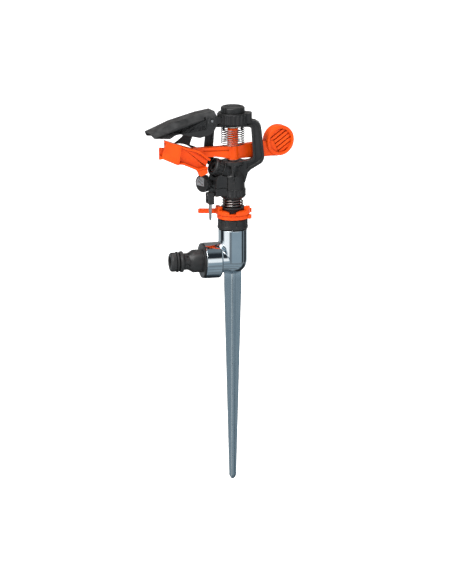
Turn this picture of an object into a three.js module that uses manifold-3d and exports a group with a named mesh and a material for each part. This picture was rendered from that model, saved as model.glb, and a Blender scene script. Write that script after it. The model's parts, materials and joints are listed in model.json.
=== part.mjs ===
import * as THREE from "three";
import { mergeVertices } from "three/addons/utils/BufferGeometryUtils.js";
import Module from "manifold-3d";

// A pulse sprinkler: a rotating plastic head on a die-cast elbow with a ground spike.
// Millimetres, +Z up. The origin is on the spike's axis, where the spike leaves the elbow.
// The hose nipple points along -X. The head's own frame is turned about Z, and its jet runs along -X.

const wasm = await Module();
wasm.setup();

// ---- driving dimensions ----

const gap = 0.3; // between pieces that rest on or sit in each other
const runGap = 0.25; // radial, between a shaft and what turns on it

const spike = {
  length: 166.7, topWidth: 14.6, tipWidth: 5.8, topDepth: 9.2, tipDepth: 5, rib: 2.4, point: 8,
};
const elbow = { tubeRadius: 11.95, boreRadius: 9, tubeTop: 45.4, socketAxis: 19.6 };
const socket = {
  radius: 14.9, mouth: 24.9, length: 13.9, neckRadius: 10.8, threadRadius: 10.5, threadDepth: 13,
};
const nipple = { flangeRadius: 14.5, flange: 1.8, shoulderRadius: 9.75, neckRadius: 6.95, noseRadius: 8 };
const nippleEnds = {
  length: 28.4, boreRadius: 4.8, ridgeRadius: 8.85, oRing: 1, grooveRadius: 6.6, grooveBack: 7.4,
};

const nut = { radius: 12.4, rimRadius: 12.7, height: 8.2, sleeveRadius: 9.2, spigot: 6 };
const gasket = { thickness: 0.8, inletThickness: 1.6 };
const lowerRing = { outer: 13.1, height: 3.5, tab: 16 };
const upperRing = { outer: 14.3, height: 3.6, lobe: 3.2 };
const stopFinger = { reach: 28.6, width: 3.7, upperAngle: 166, lowerAngle: 76 };

const stem = { radius: 6.4, boreRadius: 4.6, flangeClear: 0.8, flange: 2.4, washer: 1.2, engage: 12 };
const springSeat = { clear: 0.25, rim: 1.1, overSleeve: 0.95, thickness: 2 };
const bearingSpring = { clear: 0.9, wire: 0.75, height: 7, turns: 2.75 };

const headTurn = 13; // the head's turn about Z from the nipple's line, as shown
const bridgeTurn = -25; // the bridge's plane from the jet's heading, so the arm rests against both uprights
const body = {
  collarRadius: 10.8, collar: 9, barrelRadius: 10, columnRadius: 7, saddleRadius: 9.6, saddle: 3,
};
const bridge = { thickness: 7.8, halfWidth: 16.7, topHalfWidth: 15.2, opening: 28.5, bar: 5.9, rim: 1.8 };
const limb = { front: 7.8, rear: 9.2 }; // widths of the bridge's two uprights
const bodyHeight = 31.8; // base of the body to the top of its saddle

const jet = { elevation: 24, radius: 2.7, height: 20.5, barrelRadius: 6.6, barrel: 13 };
const nozzle = { capRadius: 7.4, cap: 7.3, insertRadius: 5, insertTail: 5, capWall: 1.6 };

const cap = { radius: 13, height: 8.4, drop: 2.4, lugReach: 15.8, lugWidth: 11, plugRadius: 10, plug: 4.8 };
const fulcrum = { radius: 1.6, seat: 7, rise: 3.5 };
const bush = { radius: 2.6, flangeRadius: 4.1, flange: 0.8, length: 5 };
const hub = { radius: 4.4 };
const armSpring = { radius: 9.4, wire: 0.42, turns: 8, leg: 5, sides: 5 };

const beam = { halfThickness: 2.8, height: 11, groove: 0.7 };
const drum = {
  radius: 12.7, recessRadius: 10, halfDepth: 4.6, reach: 42.2, sink: 1.2, recess: 3.2, rib: 2.5, ribs: 6,
};
const spoon = { wall: 1.6, near: -6.4, clear: 1, bulge: 5.4, flange: 3.8, endTurn: -27 };

const hood = {
  width: 16, wall: 1.8, hingeReach: 23, hingeRise: 4.5, knuckleRadius: 4, bossRadius: 3.4, pinRadius: 1.1,
  slopeWidth: 5, slopeDrop: 4,
};
const guide = { thickness: 1.4, clear: 0.4 };

const trip = { front: 18.5, near: -7, far: 8, bottom: 4, wall: 1.5, seam: 10.4, top: 22.3 };
const lever = { front: 24.1, back: 19.2, near: -4.6, far: 2.2, top: 6.9, bottom: -2.8, pivot: 5 };
const striker = { width: 3.1, thickness: 1.6, radius: 21.2, reach: 17.2, side: -1 };
const dial = { radius: 7.2, thickness: 5.4, x: -24.6, y: 4.8, height: 13.7, facing: 198, spindle: 2.4 };

// ---- heights that follow from the stack ----

const nutBase = elbow.tubeTop + gasket.thickness + 0.1;
const nutTop = nutBase + nut.height;
const lowerRingBase = nutTop + 0.2;
const upperRingBase = lowerRingBase + lowerRing.height + 0.2;
const sleeveTop = upperRingBase + upperRing.height + 0.1;
const seatBase = sleeveTop + 0.1;
const seatTop = seatBase + springSeat.thickness;
const bodyBase = seatTop + bearingSpring.height;
const saddleTop = bodyBase + bodyHeight;
const barBase = saddleTop + bridge.opening;
const barTop = barBase + bridge.bar;
const capBase = barTop - cap.drop;
const capTop = capBase + cap.height;
const jetBase = bodyBase + jet.height;
const beamBase = saddleTop + 1.6;
const beamTop = beamBase + beam.height;
const hingeZ = capBase + hood.hingeRise;

// ---- widths and radii that follow from what they fit ----

const nutBore = stem.radius + runGap;
const ringBore = nut.sleeveRadius + runGap;
const flangeRadius = elbow.boreRadius - stem.flangeClear;
const springRadius = stem.radius + bearingSpring.clear + bearingSpring.wire;
const seatRadius = Math.max(
  springRadius + bearingSpring.wire + springSeat.clear + springSeat.rim,
  nut.sleeveRadius + springSeat.overSleeve,
);
const lobeBore = seatRadius + 0.6;
const guideFar = hood.width / 2 - hood.wall - guide.clear;
const guideNear = guideFar - guide.thickness;
const spoonFar = guideNear - spoon.clear;

// ---- materials ----

const finish = (color, roughness, metalness) => () =>
  new THREE.MeshStandardMaterial({ color, roughness, metalness });
const castZinc = finish(0x9aa7ad, 0.22, 1);
const steel = finish(0xb9b4b2, 0.3, 1);
const blackPlastic = finish(0x3a3b3d, 0.55, 0);
const orangePlastic = finish(0xff5512, 0.45, 0);
const greyPlastic = finish(0x7d8286, 0.5, 0);
const palePlastic = finish(0xd8d4c8, 0.5, 0);
const rubber = finish(0x141414, 0.8, 0);

// ---- solids ----

// A closed geometry as a manifold solid, its faces pointing out.
function solid(geometry) {
  const bare = geometry.clone();
  bare.deleteAttribute("normal");
  bare.deleteAttribute("uv");
  const merged = mergeVertices(bare, 1e-4);
  const vertProperties = merged.attributes.position.array;
  const triVerts = new Uint32Array(merged.index.array);
  const made = new wasm.Manifold(new wasm.Mesh({ numProp: 3, vertProperties, triVerts }));
  if (made.volume() >= 0) return made;
  return new wasm.Manifold(new wasm.Mesh({ numProp: 3, vertProperties, triVerts: triVerts.reverse() }));
}

const union = (...solids) => solids.reduce((a, b) => a.add(b));
const cut = (base, ...tools) => tools.reduce((a, b) => a.subtract(b), base);

function geometryOf(made) {
  const mesh = made.getMesh();
  const position = new Float32Array(mesh.numVert * 3);
  for (let i = 0; i < mesh.numVert; i++) {
    position.set(mesh.vertProperties.subarray(i * mesh.numProp, i * mesh.numProp + 3), i * 3);
  }
  const geometry = new THREE.BufferGeometry()
    .setAttribute("position", new THREE.BufferAttribute(position, 3))
    .setIndex(new THREE.BufferAttribute(mesh.triVerts, 1))
    .toNonIndexed();
  geometry.computeVertexNormals();
  return geometry;
}

const radians = THREE.MathUtils.degToRad;
const points = (pairs) => pairs.map(([a, b]) => new THREE.Vector2(a, b));

// A profile of [radius, height] turned about Z.
function turned(profile, segments = 32) {
  return solid(new THREE.LatheGeometry(points(profile), segments).rotateX(Math.PI / 2));
}

const rod = (radius, from, to, segments = 20) =>
  turned([[0, from], [radius, from], [radius, to], [0, to]], segments);

const sleeve = (inner, outer, from, to, segments = 32) =>
  turned([[inner, from], [outer, from], [outer, to], [inner, to], [inner, from]], segments);

const box = (low, high) => {
  const size = high.map((value, i) => value - low[i]);
  const middle = high.map((value, i) => (value + low[i]) / 2);
  return solid(new THREE.BoxGeometry(...size).translate(...middle));
};

const ball = (radius, segments = 28) => solid(new THREE.SphereGeometry(radius, segments, segments / 2));

// An outline in the XY plane, raised from one height to another.
function plate(shape, from, to, curveSegments = 8) {
  const depth = to - from;
  const geometry = new THREE.ExtrudeGeometry(shape, { depth, bevelEnabled: false, curveSegments });
  return solid(geometry.translate(0, 0, from));
}

// An outline in the XZ plane, drawn out along Y.
function slab(shape, near, far, curveSegments = 8) {
  const depth = far - near;
  const geometry = new THREE.ExtrudeGeometry(shape, { depth, bevelEnabled: false, curveSegments });
  return solid(geometry.rotateX(Math.PI / 2).translate(0, far, 0));
}

const outline = (pairs) => new THREE.Shape(points(pairs));

// A solid drawn along +Z, laid so that it starts at a point and runs along a direction.
function aimed(made, start, direction) {
  const turn = new THREE.Quaternion();
  turn.setFromUnitVectors(new THREE.Vector3(0, 0, 1), new THREE.Vector3(...direction).normalize());
  const matrix = new THREE.Matrix4().compose(new THREE.Vector3(...start), turn, new THREE.Vector3(1, 1, 1));
  return made.transform(matrix.elements);
}

const spun = (made, degrees) => made.rotate([0, 0, degrees]);

// A circle with evenly spaced ribs, as an outline.
function fluted(radius, ribs, depth) {
  const pairs = [];
  const corners = [0, 0.32, 0.44, 0.88];
  for (let i = 0; i < ribs; i++) {
    corners.forEach((share, n) => {
      const angle = ((i + share) / ribs) * 2 * Math.PI;
      const r = n < 2 ? radius : radius - depth;
      pairs.push([r * Math.cos(angle), r * Math.sin(angle)]);
    });
  }
  return outline(pairs);
}

// A round wire wound about Z, with a straight leg off its lower end when one is asked for.
function coil({ radius, wire, from, to, turns, leg = 0, sides = 6, steps = 14 }) {
  const section = new THREE.Shape(points(
    Array.from({ length: sides }, (_, i) => {
      const angle = (i / sides) * 2 * Math.PI;
      return [wire * Math.cos(angle), wire * Math.sin(angle)];
    }),
  ));
  const count = Math.round(turns * steps);
  const path = new THREE.Curve();
  path.getPoint = (t, target = new THREE.Vector3()) => {
    const angle = t * turns * 2 * Math.PI;
    const reach = leg && t < 1 / count ? leg * (1 - t * count) : 0;
    const x = radius * Math.cos(angle) + reach * Math.sin(angle);
    const y = radius * Math.sin(angle) - reach * Math.cos(angle);
    return target.set(x, y, from + wire + t * (to - from - 2 * wire));
  };
  path.getPointAt = path.getPoint;
  return solid(new THREE.ExtrudeGeometry(section, { steps: count, extrudePath: path, bevelEnabled: false }));
}

const part = new THREE.Group();
const base = new THREE.Group();
const rings = new THREE.Group();
const head = new THREE.Group();
head.rotation.z = radians(headTurn);
part.add(base, rings, head);

function piece(group, name, material, made) {
  const mesh = new THREE.Mesh(geometryOf(made), material());
  mesh.name = name;
  group.add(mesh);
}

// ---- the fixed base: elbow and spike, hose nipple, bearing nut ----

// One rib pair of the spike, tapering down to a blunt point.
function spikeRib(topWidth, tipWidth) {
  const tip = -spike.length;
  return slab(
    outline([
      [-topWidth / 2, elbow.socketAxis - elbow.tubeRadius + 2],
      [-topWidth / 2, -2],
      [-tipWidth / 2, tip + spike.point],
      [-tipWidth / 4, tip + spike.point / 4],
      [0, tip],
      [tipWidth / 4, tip + spike.point / 4],
      [tipWidth / 2, tip + spike.point],
      [topWidth / 2, -2],
      [topWidth / 2, elbow.socketAxis - elbow.tubeRadius + 2],
    ]),
    -spike.rib / 2,
    spike.rib / 2,
  );
}

function spikeElbow() {
  const { tubeRadius, boreRadius, tubeTop, socketAxis } = elbow;
  const alongSocket = (made, start) => aimed(made, [-start, 0, socketAxis], [-1, 0, 0]);
  const outside = union(
    rod(tubeRadius, socketAxis, tubeTop, 40),
    ball(tubeRadius, 40).translate([0, 0, socketAxis]),
    alongSocket(rod(socket.neckRadius, 0, socket.mouth - socket.length + 1, 36), 0),
    alongSocket(
      turned([
        [0, 0], [socket.radius - 1.2, 0], [socket.radius, 1.2],
        [socket.radius, socket.length], [0, socket.length],
      ], 44),
      socket.mouth - socket.length,
    ),
    spikeRib(spike.topWidth, spike.tipWidth),
    spikeRib(spike.topDepth, spike.tipDepth).rotate([0, 0, 90]),
  );
  return cut(
    outside,
    rod(boreRadius, socketAxis, tubeTop + 1, 28),
    alongSocket(rod(boreRadius - 1, 0, socket.mouth, 24), 0),
    alongSocket(rod(socket.threadRadius, 0, socket.threadDepth + 1, 32), socket.mouth - socket.threadDepth),
  );
}

// The quick-connect nipple: threaded end, flange, twelve-sided shoulder, ridge, O-ring groove and nose.
function hoseNipple() {
  const { flangeRadius, flange, shoulderRadius, neckRadius, noseRadius } = nipple;
  const { length, boreRadius, ridgeRadius, grooveRadius, oRing } = nippleEnds;
  const threadEnd = -socket.threadDepth + gasket.inletThickness + 2 * gap;
  const grooveStart = length - nippleEnds.grooveBack;
  const grooveEnd = grooveStart + 2 * oRing + 0.9;
  const shank = turned([
    [boreRadius, threadEnd], [socket.threadRadius - gap - 0.6, threadEnd],
    [socket.threadRadius - gap, threadEnd + 0.8], [socket.threadRadius - gap, gap],
    [flangeRadius, gap], [flangeRadius, flange], [neckRadius, flange],
    [neckRadius, length - 11.4], [ridgeRadius, length - 10.4], [ridgeRadius, length - 8.8],
    [noseRadius, length - 8], [noseRadius, grooveStart], [grooveRadius, grooveStart],
    [grooveRadius, grooveEnd], [noseRadius, grooveEnd], [noseRadius, length - 1.2],
    [noseRadius - 1, length], [boreRadius, length], [boreRadius, threadEnd],
  ]);
  const shoulder = turned([
    [boreRadius + 1, flange - 0.4], [shoulderRadius, flange - 0.4], [shoulderRadius, flange + 7.2],
    [neckRadius + 0.2, flange + 11.2], [boreRadius + 1, flange + 11.2], [boreRadius + 1, flange - 0.4],
  ], 12);
  return union(shank, shoulder);
}

const onSocket = (made) => aimed(made, [-socket.mouth, 0, elbow.socketAxis], [-1, 0, 0]);

function nippleORing() {
  const { grooveRadius, grooveBack, oRing, length } = nippleEnds;
  const middle = length - grooveBack + oRing + 0.45;
  const ring = new THREE.TorusGeometry(grooveRadius + 0.15 + oRing, oRing, 6, 32);
  return solid(ring).translate([0, 0, middle]);
}

function inletGasket() {
  const floor = -socket.threadDepth + gap;
  const top = floor + gasket.inletThickness - gap;
  return sleeve(nippleEnds.boreRadius, socket.threadRadius - gap, floor, top, 28);
}

// The nut's twelve-sided skirt with scallops, its rim, the sleeve for the stop rings and the screwed spigot.
function bearingNut() {
  const skirt = turned([
    [nutBore, nutBase], [nut.rimRadius, nutBase], [nut.rimRadius, nutBase + 1.8],
    [nut.radius, nutBase + 2.3], [nut.radius, nutTop - 1], [nut.radius - 1, nutTop],
    [nutBore, nutTop], [nutBore, nutBase],
  ]);
  const scallops = Array.from({ length: 8 }, (_, i) => {
    const scallop = rod(4.2, nutBase + 2.6, nutTop + 1, 10);
    return spun(scallop.translate([nut.radius + 3.3, 0, 0]), i * 45 + 9);
  });
  const neck = sleeve(nutBore, nut.sleeveRadius, nutTop - 1, sleeveTop);
  const spigot = sleeve(nutBore, elbow.boreRadius - gap, nutBase - nut.spigot, nutBase + 1);
  return union(cut(skirt, ...scallops), neck, spigot);
}

const nutGasket = () =>
  sleeve(elbow.boreRadius + 0.2, elbow.tubeRadius - 0.4, elbow.tubeTop + 0.05, nutBase - 0.05, 24);

piece(base, "spike_elbow", castZinc, spikeElbow());
piece(base, "hose_nipple", blackPlastic, onSocket(hoseNipple()));
piece(base, "nipple_o_ring", rubber, onSocket(nippleORing()));
piece(base, "inlet_gasket", rubber, onSocket(inletGasket()));
piece(base, "nut_gasket", rubber, nutGasket());
piece(base, "bearing_nut", blackPlastic, bearingNut());

// ---- the two stop rings, turned by hand on the nut's sleeve ----

// A spring clip ring with a slit, grip lugs either side of it and a long stop finger.
function stopRing({ outer, height }, from, fingerAngle, slitAngle) {
  const { reach, width } = stopFinger;
  const middle = from + height / 2;
  const finger = union(
    box([ringBore + 1, -width / 2, from], [reach - width / 2, width / 2, from + height]),
    rod(width / 2, from, from + height, 16).translate([reach - width / 2, 0, 0]),
  );
  const top = from + height;
  const dent = rod(width / 2 - 0.9, top - 0.7, top + 1, 12).translate([reach - width / 2, 0, 0]);
  const web = aimed(rod(width / 2 + 0.9, ringBore + 1, outer + 2.2, 12), [0, 0, middle], [1, 0, 0]);
  const level = box([0, -width, from], [outer + 3, width, from + height]);
  const lug = box([ringBore + 0.6, -1.1, from], [outer + 1.6, 1.1, from + height]);
  const ring = union(
    sleeve(ringBore, outer, from, from + height, 36),
    spun(cut(finger, dent), fingerAngle),
    spun(web.intersect(level), fingerAngle),
    spun(lug, slitAngle - 9),
    spun(lug, slitAngle + 9),
  );
  return cut(ring, spun(box([0, -0.9, from - 1], [outer + 4, 0.9, from + height + 1]), slitAngle));
}

const frontAngle = 256; // the side that faces forward of the nipple

function lowerStopRing() {
  const { outer, height, tab: reach } = lowerRing;
  const tab = box([outer - 1, -1.6, lowerRingBase], [reach, 1.6, lowerRingBase + height]);
  return union(
    stopRing(lowerRing, lowerRingBase, stopFinger.lowerAngle, frontAngle + 130),
    spun(tab, frontAngle + 72),
  );
}

// The upper ring also has a raised lobe, and its front dips in a V around the sleeve's key.
function upperStopRing() {
  const top = upperRingBase + upperRing.height;
  const lobe = sleeve(lobeBore, upperRing.outer, top - 1, top + upperRing.lobe, 36);
  const arc = (from, to) =>
    plate(outline([
      [0, 0],
      ...Array.from({ length: 5 }, (_, i) => {
        const angle = radians(from + ((to - from) * i) / 4);
        return [20 * Math.cos(angle), 20 * Math.sin(angle)];
      }),
    ]), top - 2, top + upperRing.lobe + 1);
  const dip = outline([
    [-9, top + 1], [-2.7, top - 0.9], [-2.7, top - 2.4], [2.7, top - 2.4], [2.7, top - 0.9], [9, top + 1],
  ]);
  const notch = slab(dip, 0, 8).translate([0, -upperRing.outer - 1, 0]);
  const ring = union(
    stopRing(upperRing, upperRingBase, stopFinger.upperAngle, frontAngle + 112),
    lobe.intersect(arc(frontAngle - 90, frontAngle - 52)),
    lobe.intersect(arc(frontAngle + 58, frontAngle + 84)),
  );
  return cut(ring, spun(notch, frontAngle + 90));
}

piece(rings, "lower_stop_ring", orangePlastic, lowerStopRing());
piece(rings, "upper_stop_ring", orangePlastic, upperStopRing());

// ---- the head's bearing: stem, thrust washer, spring seat and spring ----

const stemTop = bodyBase + stem.engage;
const stemFlangeTop = nutBase - nut.spigot - stem.washer - 0.3;

function bearingStem() {
  const flangeBase = stemFlangeTop - stem.flange;
  return turned([
    [stem.boreRadius, flangeBase], [flangeRadius, flangeBase], [flangeRadius, stemFlangeTop],
    [stem.radius, stemFlangeTop], [stem.radius, stemTop], [stem.boreRadius, stemTop],
    [stem.boreRadius, flangeBase],
  ], 28);
}

const thrustWasher = () =>
  sleeve(nutBore, flangeRadius, stemFlangeTop + 0.1, stemFlangeTop + stem.washer, 28);

const springSeatWasher = () => turned([
  [nutBore, seatBase], [seatRadius - 0.5, seatBase], [seatRadius, seatBase + 0.5],
  [seatRadius, seatTop], [seatRadius - springSeat.rim, seatTop], [seatRadius - springSeat.rim, seatTop - 0.7],
  [nutBore, seatTop - 0.7], [nutBore, seatBase],
]);

const headSpring = () => coil({
  radius: springRadius,
  wire: bearingSpring.wire,
  from: seatTop - 0.6,
  to: bodyBase - 0.1,
  turns: bearingSpring.turns,
  steps: 18,
});

piece(head, "bearing_stem", blackPlastic, bearingStem());
piece(head, "thrust_washer", palePlastic, thrustWasher());
piece(head, "spring_seat", blackPlastic, springSeatWasher());
piece(head, "bearing_spring", steel, headSpring());

// ---- the sprinkler body: barrel, nozzle barrel, bridge and hood guide ----

const jetAngle = radians(jet.elevation);
const jetWay = [-Math.cos(jetAngle), 0, Math.sin(jetAngle)];
const onJet = (made) => aimed(made, [0, 0, jetBase], jetWay);

// The bridge's window or its outside, grown or shrunk by an inset, in the bridge's own XZ plane.
function bridgeOutside(inset) {
  const top = barTop - inset;
  const foot = body.barrelRadius + 0.2 - inset;
  const half = (width) => {
    const side = bridge.halfWidth + width - inset;
    const shoulder = bridge.topHalfWidth + width - 0.6 - inset;
    const path = new THREE.Path();
    path.moveTo(foot, bodyBase + 14);
    path.lineTo(foot + 2.4, saddleTop - 9.6 + inset);
    path.lineTo(foot + 5.2, saddleTop - 7 + inset);
    path.lineTo(side - 2.6, saddleTop - 2.2 + inset);
    path.quadraticCurveTo(side, saddleTop + inset, side, saddleTop + 4);
    path.lineTo(shoulder, top - 9.6 + inset);
    path.quadraticCurveTo(shoulder, top, shoulder - 9.6 + inset, top);
    return path.getPoints(4);
  };
  const mirrored = half(limb.front).map(({ x, y }) => new THREE.Vector2(-x, y));
  return new THREE.Shape([...half(limb.rear), ...mirrored.reverse()]);
}

function bridgeWindow(inset) {
  const low = bridge.halfWidth + inset;
  const high = bridge.topHalfWidth + inset;
  const floor = saddleTop - inset;
  const top = barBase + inset;
  const shape = new THREE.Shape();
  shape.moveTo(-low + 6, floor);
  shape.lineTo(low - 6, floor);
  shape.quadraticCurveTo(low, floor + 0.6, low, floor + 4.5);
  shape.lineTo(high, top - 2.6);
  shape.quadraticCurveTo(high, top, high - 2.6, top);
  shape.lineTo(-high + 2.6, top);
  shape.quadraticCurveTo(-high, top, -high, top - 2.6);
  shape.lineTo(-low, floor + 4.5);
  shape.quadraticCurveTo(-low, floor + 0.6, -low + 6, floor);
  return shape;
}

function bridgeFrame() {
  const half = bridge.thickness / 2;
  const outside = slab(bridgeOutside(0), -half, half, 4);
  const window = slab(bridgeWindow(0), -half - 1, half + 1, 4);
  const webBand = cut(
    slab(bridgeOutside(bridge.rim), -half - 1, half + 1, 4),
    slab(bridgeWindow(bridge.rim), -half - 2, half + 2, 4),
    box([-body.barrelRadius - 1.5, -half - 2, bodyBase], [body.barrelRadius + 1.5, half + 2, barTop + 1]),
  );
  const recess = (near, far) => webBand.intersect(box([-40, near, bodyBase], [40, far, barTop + 1]));
  return cut(outside, window, recess(-half - 2, -half + 1.5), recess(half - 1.5, half + 2));
}

// Two stubs under the bar that hold the arm spring's upper end.
const springHooks = () => [-1, 1].map((side) =>
  box([side * 7.5 - 1, -1.4, barBase - 2.8], [side * 7.5 + 1, 1.4, barBase + 1]));

// The curved strip behind the jet that the hood slides over.
function hoodGuide() {
  const shape = new THREE.Shape();
  shape.moveTo(-16, saddleTop + 12.3);
  shape.lineTo(-16, saddleTop + 9.4);
  shape.lineTo(-28, saddleTop + 10.2);
  shape.quadraticCurveTo(-34, saddleTop + 11.2, -37.6, saddleTop + 14.2);
  shape.quadraticCurveTo(-44, saddleTop + 18.6, -53, saddleTop + 17.6);
  shape.quadraticCurveTo(-47.5, saddleTop + 20.4, -43.6, hingeZ - 12.9);
  shape.lineTo(-42.5, hingeZ - 7.5);
  shape.lineTo(-36.5, hingeZ - 6.9);
  shape.lineTo(-34.4, hingeZ - 13.1);
  shape.quadraticCurveTo(-36.4, saddleTop + 18.6, -37.2, saddleTop + 15.8);
  shape.lineTo(-28, saddleTop + 11.9);
  return slab(shape, guideNear, guideFar, 5);
}

function sprinklerBody() {
  const { collarRadius, collar, barrelRadius, columnRadius, saddleRadius, saddle } = body;
  const barrel = turned([
    [0, bodyBase], [collarRadius - 2.3, bodyBase], [collarRadius - 0.5, bodyBase + 1.7],
    [collarRadius - 0.5, bodyBase + collar - 0.6], [barrelRadius, bodyBase + collar],
    [barrelRadius, jetBase - 1], [columnRadius, jetBase + 3], [columnRadius, saddleTop - saddle - 1.6],
    [saddleRadius, saddleTop - saddle], [saddleRadius, saddleTop], [0, saddleTop],
  ], 36);
  const collarBand = plate(fluted(collarRadius, 20, 0.5), bodyBase + 2.2, bodyBase + collar - 0.8);
  const column = (side) => spun(
    rod(2.6, jetBase - 6, saddleTop - saddle, 16).translate([0.6, side * (columnRadius + 0.5), 0]),
    bridgeTurn,
  );
  const nozzleBarrel = onJet(union(
    rod(jet.barrelRadius, 0, jet.barrel, 28),
    rod(jet.barrelRadius + 1, jet.barrel - 1.2, jet.barrel, 28),
  ));
  const trunnion = [-1, 1].map((side) =>
    slab(outline([[-9, jetBase + 1.6], [-9, jetBase + 3.2], [2, jetBase - 1.6], [2, jetBase - 3.2]]),
      side > 0 ? jet.barrelRadius - 1 : -jet.barrelRadius - 0.8,
      side > 0 ? jet.barrelRadius + 0.8 : -jet.barrelRadius + 1));
  const outside = union(
    barrel, collarBand, column(-1), column(1), nozzleBarrel, ...trunnion,
    spun(union(bridgeFrame(), ...springHooks()), bridgeTurn), hoodGuide(),
  );
  return cut(
    outside,
    rod(stem.radius + gap, bodyBase - 1, stemTop + gap, 28),
    rod(stem.boreRadius, stemTop, jetBase, 24),
    onJet(rod(nozzle.insertRadius + gap, 0, jet.barrel + 1, 24)),
    onJet(rod(nozzle.capRadius + 0.6, jet.barrel, jet.barrel + nozzle.cap + 8, 28)),
    rod(fulcrum.radius + 0.1, saddleTop - fulcrum.seat, barTop + 1, 20),
  );
}

piece(head, "sprinkler_body", blackPlastic, sprinklerBody());

// ---- the nozzle ----

const nozzleCapBase = jet.barrel + gap;
const nozzleMouth = nozzleCapBase + nozzle.cap;

function nozzleInsert() {
  const { insertRadius, insertTail } = nozzle;
  return turned([
    [jet.radius + 0.6, insertTail], [insertRadius, insertTail], [insertRadius, nozzleCapBase + 3],
    [jet.radius + 1.6, nozzleMouth - 0.8], [jet.radius, nozzleMouth - 0.8], [jet.radius, nozzleCapBase],
    [jet.radius + 0.6, insertTail],
  ], 28);
}

// The screwed cap, its rear part ribbed for the fingers and its front a plain ring.
function nozzleCap() {
  const { capRadius, capWall, insertRadius } = nozzle;
  const ribbed = plate(fluted(capRadius, 16, 0.6), nozzleCapBase, nozzleMouth - 2.2);
  const front = turned([
    [0, nozzleMouth - 2.6], [capRadius, nozzleMouth - 2.6], [capRadius, nozzleMouth - 0.8],
    [capRadius - 0.8, nozzleMouth], [0, nozzleMouth],
  ], 36);
  return cut(
    union(ribbed, front),
    rod(insertRadius + gap, nozzleCapBase - 1, nozzleCapBase + 3 + gap, 28),
    turned([
      [0, nozzleCapBase + 3], [insertRadius + gap, nozzleCapBase + 3],
      [capRadius - capWall, nozzleMouth + 1], [0, nozzleMouth + 1],
    ], 28),
  );
}

piece(head, "nozzle_insert", blackPlastic, onJet(nozzleInsert()));
piece(head, "nozzle_cap", blackPlastic, onJet(nozzleCap()));

// ---- the top cap and the fulcrum pin that the arm turns on ----

const hingeX = -hood.hingeReach;
const knuckleFar = hood.width / 2 - hood.wall - 0.6;
const knuckleNear = hood.slopeWidth - 0.8 - hood.width / 2;

function topCap() {
  const ribbed = plate(fluted(cap.radius, 22, 0.7), capBase, capTop - 0.9);
  const shoulder = rod(cap.radius - 0.7, capTop - 1, capTop, 22);
  const lugShape = new THREE.Shape();
  const half = cap.lugWidth / 2;
  lugShape.moveTo(0, -half);
  lugShape.lineTo(cap.lugReach - 4, -half);
  lugShape.quadraticCurveTo(cap.lugReach, -half, cap.lugReach, -half + 4);
  lugShape.lineTo(cap.lugReach, half - 4);
  lugShape.quadraticCurveTo(cap.lugReach, half, cap.lugReach - 4, half);
  lugShape.lineTo(0, half);
  const lug = spun(plate(lugShape, capBase, capTop - 0.2, 5), bridgeTurn);
  const link = slab(
    outline([[0, capBase + 0.4], [hingeX, hingeZ - 3.4], [hingeX, hingeZ + 1], [0, hingeZ + 1]]),
    knuckleNear, knuckleFar,
  );
  const acrossHinge = (radius, from, to, segments) =>
    aimed(rod(radius, 0, to - from, segments), [hingeX, from, hingeZ], [0, 1, 0]);
  const knuckle = acrossHinge(hood.knuckleRadius, knuckleNear, knuckleFar, 28);
  const halfBar = bridge.thickness / 2 + gap;
  return cut(
    union(ribbed, shoulder, lug, link, knuckle),
    spun(box([-40, -halfBar, capBase - 3], [40, halfBar, barTop + gap]), bridgeTurn),
    rod(fulcrum.radius + gap, capBase - 1, barTop + fulcrum.rise + gap, 20),
    rod(4.6, capTop - 2.4, capTop + 1, 28),
    rod(cap.plugRadius + gap, capTop, capTop + 3, 40),
    acrossHinge(hood.pinRadius + 0.1, -hood.width, hood.width, 16),
  );
}

// The screw-in plug on top, with a coin slot.
function capPlug() {
  const { plugRadius, plug } = cap;
  const from = capTop + gap / 2;
  const outside = turned([
    [0, capTop - 2.1], [4.3, capTop - 2.1], [4.3, from], [plugRadius - 0.3, from], [plugRadius, from + 0.3],
    [plugRadius, from + plug - 0.9], [plugRadius - 0.9, from + plug], [plugRadius - 2.1, from + plug],
    [plugRadius - 2.5, from + plug - 0.5], [0, from + plug - 0.5],
  ], 36);
  const slot = box([-6.4, -0.8, from + plug - 1.5], [6.4, 0.8, from + plug + 1]);
  const flat = box([-1, plugRadius - 0.6, from], [1, plugRadius + 1, from + plug + 1]);
  return cut(cut(outside, spun(slot, -20)), ...[0, 90, 180, 270].map((turn) => spun(flat, turn + 205)));
}

const fulcrumPin = () => turned([
  [0, saddleTop - fulcrum.seat + gap], [fulcrum.radius - 0.4, saddleTop - fulcrum.seat + gap],
  [fulcrum.radius, saddleTop - fulcrum.seat + gap + 0.4], [fulcrum.radius, barTop + fulcrum.rise - 0.4],
  [fulcrum.radius - 0.4, barTop + fulcrum.rise], [0, barTop + fulcrum.rise],
], 20);

piece(head, "top_cap", blackPlastic, topCap());
piece(head, "cap_plug", blackPlastic, capPlug());
piece(head, "fulcrum_pin", steel, fulcrumPin());

// ---- the impact arm with its bushes and return spring ----

const hubBase = saddleTop + bush.flange + 0.3;
const hubTop = barBase - bush.flange - 0.3;

function hubBush(end, way) {
  const profile = [
    [fulcrum.radius + runGap, 0], [bush.flangeRadius, 0], [bush.flangeRadius, bush.flange],
    [bush.radius, bush.flange], [bush.radius, bush.flange + bush.length],
    [fulcrum.radius + runGap, bush.flange + bush.length], [fulcrum.radius + runGap, 0],
  ];
  return aimed(turned(profile, 20), [0, 0, end], [0, 0, way]);
}

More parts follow.
